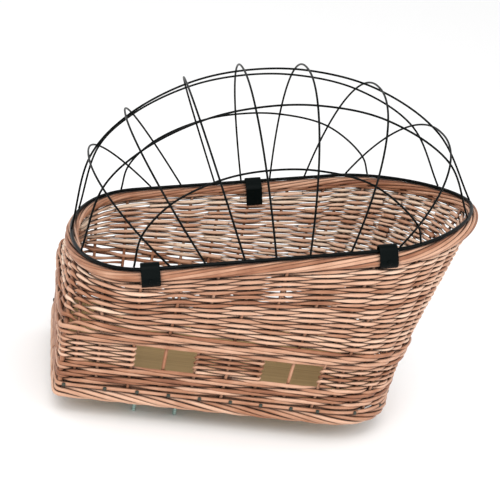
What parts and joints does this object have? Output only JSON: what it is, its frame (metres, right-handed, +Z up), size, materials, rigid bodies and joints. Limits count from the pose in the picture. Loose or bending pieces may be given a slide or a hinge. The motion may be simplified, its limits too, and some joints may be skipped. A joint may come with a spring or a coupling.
{
  "type": "bicycle basket",
  "caption": "Woven willow basket for a bicycle's rear rack, with a sloping rim, low windows, a plywood floor, a bolted rack clamp and a domed wire grille hinged in straps along one side.",
  "frame": {"origin": "middle of the floor board's underside, the face that goes towards the rack", "axes": "+Z up, +X from the low front end to the high rear end, -Y the side on which the grille is hinged"},
  "size_m": [0.5445, 0.3434, 0.4595],
  "materials": {
    "willow": "buff willow rods, satin",
    "willow_border": "buff willow rods, satin, darker along the edges",
    "plywood": "sanded plywood",
    "coated_wire": "black coating, half gloss",
    "strap": "black strap, soft sheen",
    "zinc": "zinc plated steel"
  },
  "bodies": {
    "basket": {"floor_board": "plywood", "foot_border": "willow_border", "lower_wall": "willow", "window_stake_near_front": "willow_border", "window_stake_near_rear": "willow_border", "window_stake_far_front": "willow_border", "window_stake_far_rear": "willow_border", "waling_band": "willow_border", "upper_wall": "willow", "rim_border": "willow_border", "hinge_strap_front": "strap", "hinge_strap_rear": "strap", "strap_stud_front": "zinc", "strap_stud_rear": "zinc", "clamp_bolt_front_near": "zinc", "clamp_bolt_front_far": "zinc", "clamp_bolt_rear_near": "zinc", "clamp_bolt_rear_far": "zinc", "bolt_washer_front_near": "zinc", "bolt_washer_front_far": "zinc", "bolt_washer_rear_near": "zinc", "bolt_washer_rear_far": "zinc"},
    "grille": {"grille_ring": "coated_wire", "grille_hoop_1": "coated_wire", "grille_hoop_2": "coated_wire", "grille_hoop_3": "coated_wire", "grille_hoop_4": "coated_wire", "grille_hoop_5": "coated_wire", "grille_hoop_6": "coated_wire", "grille_hoop_7": "coated_wire", "grille_arch_near_low": "coated_wire", "grille_arch_near_high": "coated_wire", "grille_arch_far_low": "coated_wire", "grille_arch_far_high": "coated_wire", "grille_arch_ridge": "coated_wire", "closure_strap": "strap"},
    "closure_tail": {"closure_tail": "strap"},
    "clamp_front": {"clamp_strip_front": "zinc"},
    "clamp_rear": {"clamp_strip_rear": "zinc"},
    "nut_front_near": {"wing_nut_front_near": "zinc"},
    "nut_front_far": {"wing_nut_front_far": "zinc"},
    "nut_rear_near": {"wing_nut_rear_near": "zinc"},
    "nut_rear_far": {"wing_nut_rear_far": "zinc"}
  },
  "joints": [
    {"name": "grille_hinge", "type": "hinge", "parent": "basket", "child": "grille", "pos_m": [0.033, -0.158, 0.211], "axis": [0.9763, 0, 0.2164], "range_deg": [0, 105]},
    {"name": "closure_fold", "type": "hinge", "parent": "grille", "child": "closure_tail", "pos_m": [0.02882, 0.1445, 0.20213], "axis": [-0.9763, 0, -0.2164], "range_deg": [0, 100]},
    {"name": "clamp_front_slide", "type": "slide", "parent": "basket", "child": "clamp_front", "axis": [0, 0, 1], "range_m": [-0.016, 0.003]},
    {"name": "clamp_rear_slide", "type": "slide", "parent": "basket", "child": "clamp_rear", "axis": [0, 0, 1], "range_m": [-0.016, 0.003]},
    {"name": "nut_front_near_spin", "type": "hinge", "parent": "clamp_front", "child": "nut_front_near", "pos_m": [-0.121, -0.1, -0.0188], "axis": [0, 0, 1], "range_deg": [-7245, 1395]},
    {"name": "nut_front_far_spin", "type": "hinge", "parent": "clamp_front", "child": "nut_front_far", "pos_m": [-0.121, 0.1, -0.0188], "axis": [0, 0, 1], "range_deg": [-7245, 1395]},
    {"name": "nut_rear_near_spin", "type": "hinge", "parent": "clamp_rear", "child": "nut_rear_near", "pos_m": [-0.0675, -0.1, -0.0188], "axis": [0, 0, 1], "range_deg": [-7245, 1395]},
    {"name": "nut_rear_far_spin", "type": "hinge", "parent": "clamp_rear", "child": "nut_rear_far", "pos_m": [-0.0675, 0.1, -0.0188], "axis": [0, 0, 1], "range_deg": [-7245, 1395]}
  ],
  "couplings": [
    {"joint": "nut_front_near_spin", "follows": "clamp_front_slide", "rad_per_m": 7854},
    {"joint": "nut_front_far_spin", "follows": "clamp_front_slide", "rad_per_m": 7854},
    {"joint": "nut_rear_near_spin", "follows": "clamp_rear_slide", "rad_per_m": 7854},
    {"joint": "nut_rear_far_spin", "follows": "clamp_rear_slide", "rad_per_m": 7854}
  ]
}
